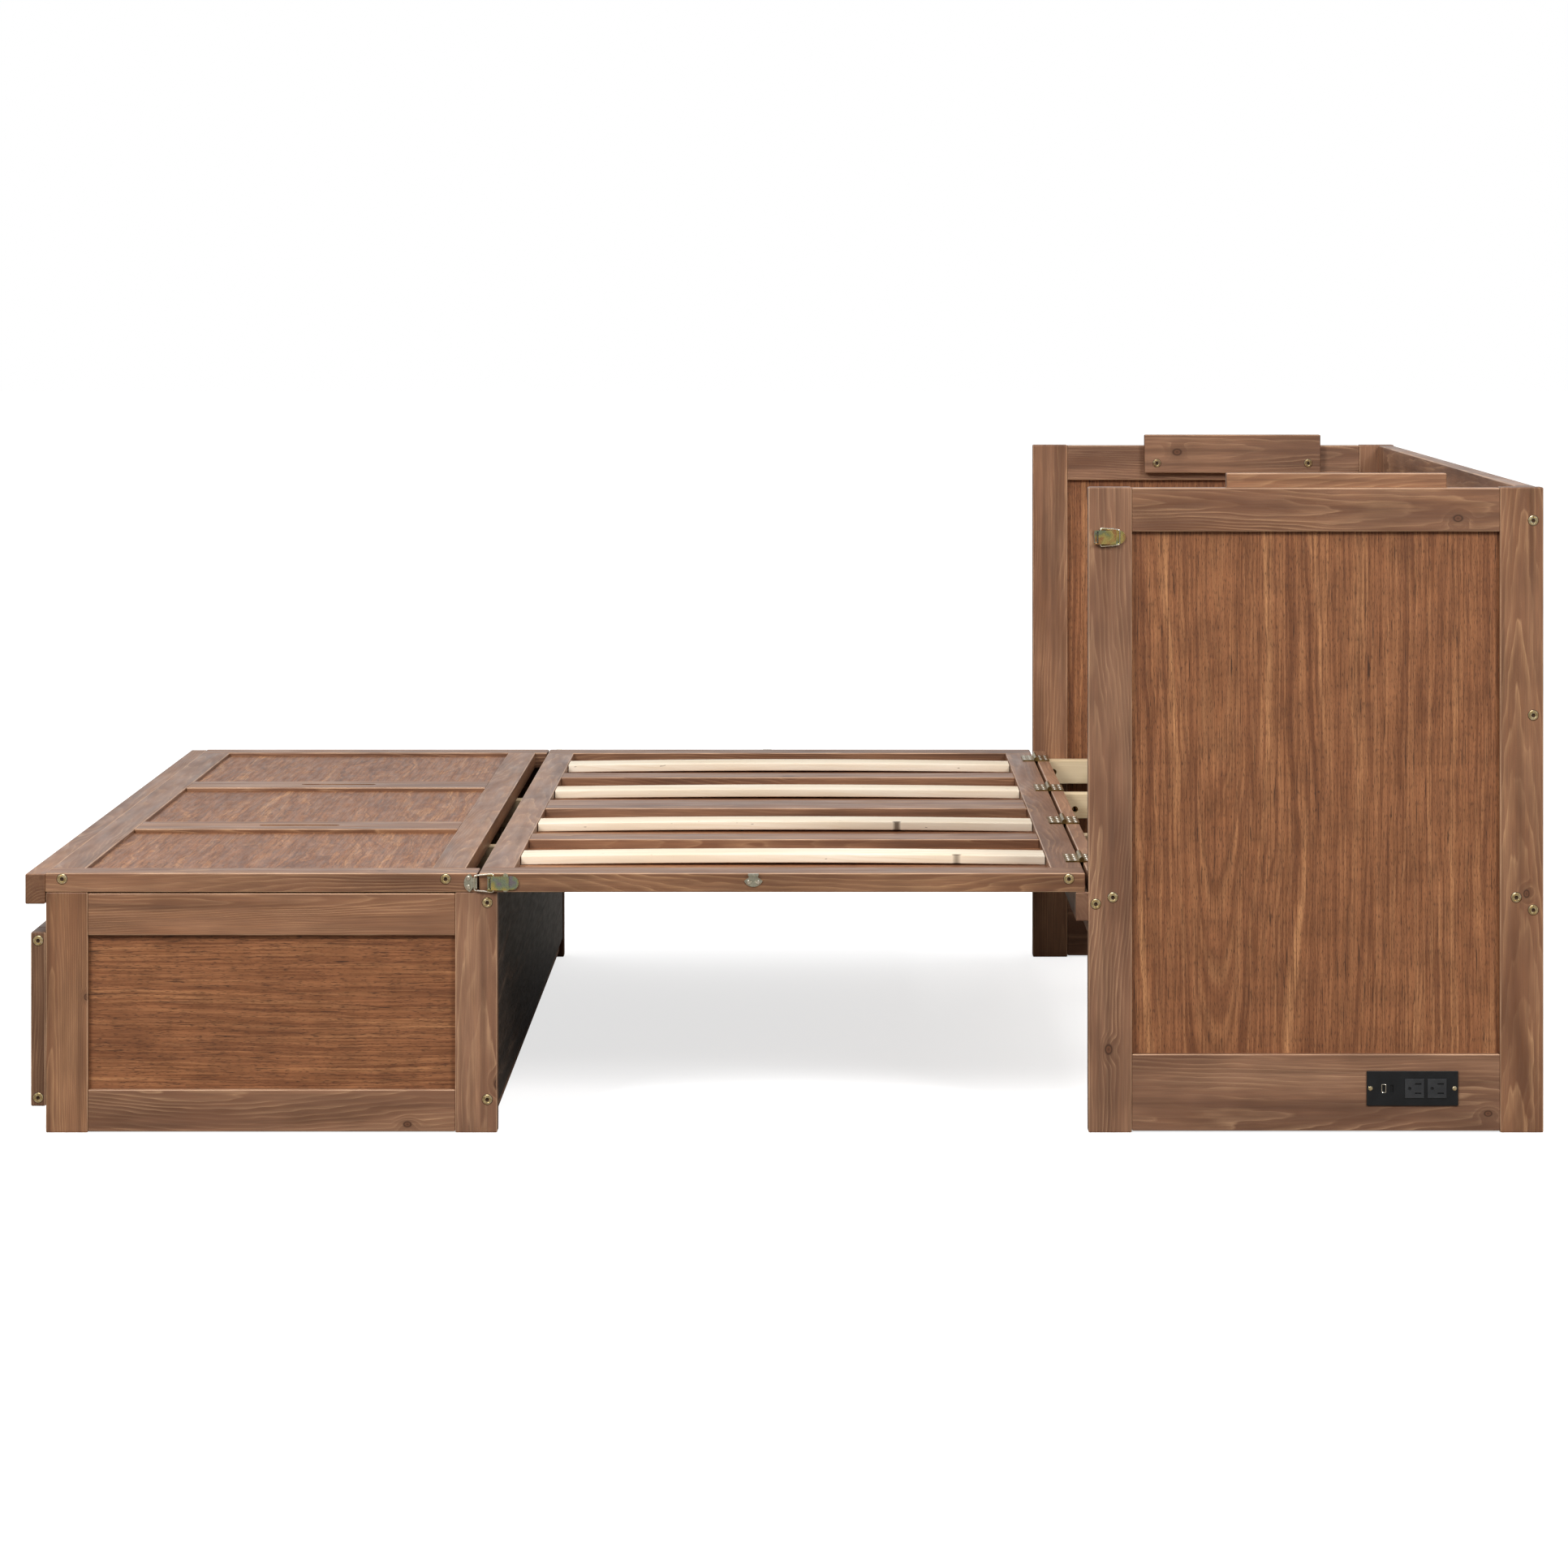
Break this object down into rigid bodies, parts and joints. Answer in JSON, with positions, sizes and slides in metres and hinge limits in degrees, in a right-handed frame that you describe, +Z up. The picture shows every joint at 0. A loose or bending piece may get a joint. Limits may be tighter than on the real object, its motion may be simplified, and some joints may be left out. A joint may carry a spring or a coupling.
{
  "type": "cabinet bed",
  "caption": "Opened cabinet bed: a panelled head cabinet, a slatted platform hinged to it, and a foot box with a lid and a wide drawer.",
  "frame": {"origin": "on the floor under the middle of the whole opened bed", "axes": "+X towards the head cabinet, +Y away from the side that has the power unit, +Z up"},
  "size_m": [2.0586, 1.619, 0.893],
  "materials": {
    "stained_pine": "satin",
    "walnut_veneer": "satin",
    "pale_pine": "matte",
    "brass": "satin",
    "yellow_zinc": "satin",
    "bright_wire": "polished",
    "black_plastic": "matte",
    "dark_plastic": "satin",
    "steel": "satin"
  },
  "bodies": {
    "cabinet": {"cabinet_front_stiles": "stained_pine", "cabinet_back_stiles": "stained_pine", "locating_boards": "stained_pine", "cabinet_top_rails": "stained_pine", "cabinet_side_panels": "walnut_veneer", "cabinet_near_bottom_rail": "stained_pine", "cabinet_far_bottom_rail": "stained_pine", "power_faceplate": "black_plastic", "power_outlets": "dark_plastic", "usb_ports": "steel", "power_housing": "black_plastic", "back_end_stiles": "stained_pine", "back_mid_stiles": "stained_pine", "back_rails": "stained_pine", "back_panels": "walnut_veneer", "head_joists": "pale_pine", "head_front_beam": "stained_pine", "head_slats": "pale_pine", "head_rest_ledger": "stained_pine", "cabinet_fasteners": "brass", "hinge_fixed_leaves": "brass", "cabinet_latch_bases": "yellow_zinc"},
    "middle_platform": {"hinge_moving_leaves": "brass", "middle_side_rails": "stained_pine", "middle_bolts": "brass", "middle_end_rails": "stained_pine", "middle_cross_rails": "stained_pine", "middle_slats": "pale_pine", "middle_panels": "walnut_veneer", "platform_latch_bases": "yellow_zinc", "middle_strikes": "yellow_zinc"},
    "foot_box": {"box_stiles": "stained_pine", "box_side_rails": "stained_pine", "box_side_panels": "walnut_veneer", "box_bolts": "brass", "box_support_rails": "pale_pine", "box_cross_rails": "stained_pine", "box_back_panel": "walnut_veneer", "drawer_runners": "pale_pine"},
    "lid": {"lid_side_rails": "stained_pine", "lid_bolts": "brass", "lid_end_stiles": "stained_pine", "lid_mid_stiles": "stained_pine", "lid_panels": "walnut_veneer", "lid_foot_strip": "stained_pine", "lid_strikes": "yellow_zinc"},
    "drawer": {"drawer_front_frame": "stained_pine", "drawer_front_panel": "walnut_veneer", "drawer_sides": "pale_pine", "drawer_bolts": "brass", "drawer_back": "pale_pine", "drawer_floor": "pale_pine"},
    "near_platform_lever": {"near_platform_lever": "yellow_zinc"},
    "near_platform_bail": {"near_platform_bail": "bright_wire"},
    "near_cabinet_lever": {"near_cabinet_lever": "yellow_zinc"},
    "near_cabinet_bail": {"near_cabinet_bail": "bright_wire"},
    "far_platform_lever": {"far_platform_lever": "yellow_zinc"},
    "far_platform_bail": {"far_platform_bail": "bright_wire"},
    "far_cabinet_lever": {"far_cabinet_lever": "yellow_zinc"},
    "far_cabinet_bail": {"far_cabinet_bail": "bright_wire"}
  },
  "joints": [
    {"name": "platform_fold", "type": "hinge", "parent": "cabinet", "child": "middle_platform", "pos_m": [0.41, 0, 0.3555], "axis": [0, 1, 0], "range_deg": [0, 90]},
    {"name": "foot_box_out", "type": "slide", "parent": "cabinet", "child": "foot_box", "axis": [-1, 0, 0], "range_m": [0, 0.5]},
    {"name": "drawer_slide", "type": "slide", "parent": "foot_box", "child": "drawer", "axis": [-1, 0, 0], "range_m": [0, 0.42]},
    {"name": "lid_lift", "type": "slide", "parent": "foot_box", "child": "lid", "axis": [0, 0, 1], "range_m": [0, 0.3]},
    {"name": "near_platform_lever_turn", "type": "hinge", "parent": "middle_platform", "child": "near_platform_lever", "pos_m": [-0.40005, -0.8055, 0.339], "axis": [0, 0, -1], "range_deg": [0, 100]},
    {"name": "near_platform_bail_turn", "type": "hinge", "parent": "near_platform_lever", "child": "near_platform_bail", "pos_m": [-0.39405, -0.804, 0.339], "axis": [0, 0, -1], "range_deg": [-100, 0]},
    {"name": "near_cabinet_lever_turn", "type": "hinge", "parent": "cabinet", "child": "near_cabinet_lever", "pos_m": [0.4223, -0.8055, 0.8075], "axis": [0, 0, -1], "range_deg": [0, 100]},
    {"name": "near_cabinet_bail_turn", "type": "hinge", "parent": "near_cabinet_lever", "child": "near_cabinet_bail", "pos_m": [0.4283, -0.804, 0.8075], "axis": [0, 0, -1], "range_deg": [0, 80]},
    {"name": "far_platform_lever_turn", "type": "hinge", "parent": "middle_platform", "child": "far_platform_lever", "pos_m": [-0.40005, 0.8055, 0.339], "axis": [0, 0, 1], "range_deg": [0, 100]},
    {"name": "far_platform_bail_turn", "type": "hinge", "parent": "far_platform_lever", "child": "far_platform_bail", "pos_m": [-0.39405, 0.804, 0.339], "axis": [0, 0, 1], "range_deg": [-100, 0]},
    {"name": "far_cabinet_lever_turn", "type": "hinge", "parent": "cabinet", "child": "far_cabinet_lever", "pos_m": [0.4223, 0.8055, 0.8075], "axis": [0, 0, 1], "range_deg": [0, 100]},
    {"name": "far_cabinet_bail_turn", "type": "hinge", "parent": "far_cabinet_lever", "child": "far_cabinet_bail", "pos_m": [0.4283, 0.804, 0.8075], "axis": [0, 0, 1], "range_deg": [0, 80]}
  ],
  "couplings": [
    {"joint": "near_platform_bail_turn", "follows": "near_platform_lever_turn", "ratio": -1},
    {"joint": "far_platform_bail_turn", "follows": "far_platform_lever_turn", "ratio": -1}
  ]
}
